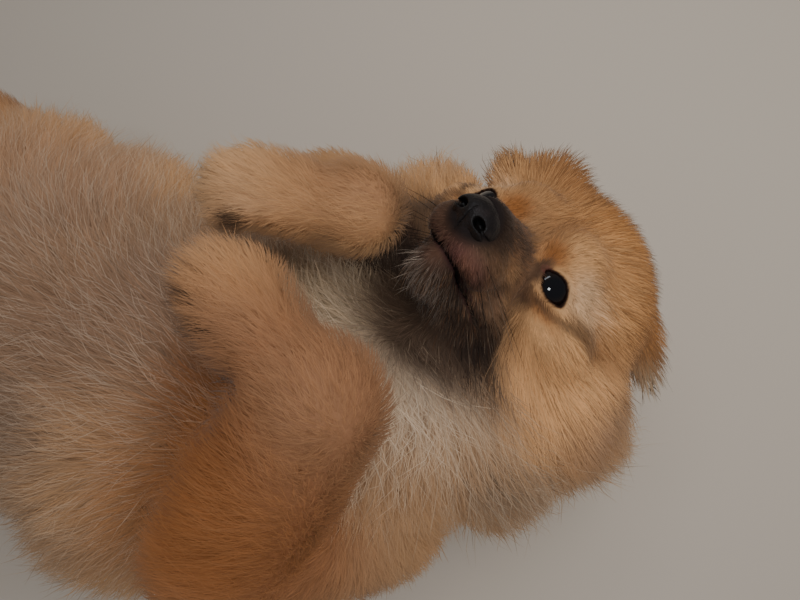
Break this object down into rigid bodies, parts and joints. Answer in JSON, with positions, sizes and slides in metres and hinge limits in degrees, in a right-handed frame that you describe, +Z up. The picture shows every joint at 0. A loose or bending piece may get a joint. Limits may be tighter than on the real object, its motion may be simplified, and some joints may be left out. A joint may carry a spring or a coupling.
{
  "type": "pomeranian puppy",
  "caption": "Fluffy tan and cream puppy lying on its back, life size, forepaws folded over the chest, head turned up, parted into named body parts.",
  "frame": {"origin": "on the floor under the middle of the body's bounding box", "axes": "+X along the spine towards the head, +Y to the puppy's right side, +Z up, away from the floor; the belly faces up"},
  "size_m": [0.3628, 0.1878, 0.1328],
  "materials": {
    "fur_tan": "soft fluffy coat, orange tan",
    "fur_cream": "soft fluffy coat, grey cream underside",
    "fur_sable": "soft coat with dark tips",
    "mask": "short dark fur of muzzle and chin",
    "leather": "moist black nose leather, fine pebbled",
    "eye": "wet glossy, near black brown"
  },
  "bodies": {
    "root": {"abdomen": "fur_cream", "chest": "fur_cream", "ear_left": "fur_sable", "ear_right": "fur_sable", "eye_left": "eye", "eye_right": "eye", "forearm_left": "fur_tan", "forearm_right": "fur_tan", "forepaw_left": "fur_tan", "forepaw_right": "fur_tan", "head": "fur_tan", "hind_paw_left": "fur_tan", "hind_paw_right": "fur_tan", "lower_jaw": "mask", "muzzle": "mask", "neck": "fur_tan", "nose": "leather", "rump": "fur_cream", "shank_left": "fur_tan", "shank_right": "fur_tan", "tail_root": "fur_cream", "tail_tip": "fur_cream", "thigh_left": "fur_tan", "thigh_right": "fur_tan", "upper_arm_left": "fur_tan", "upper_arm_right": "fur_tan"}
  },
  "joints": []
}
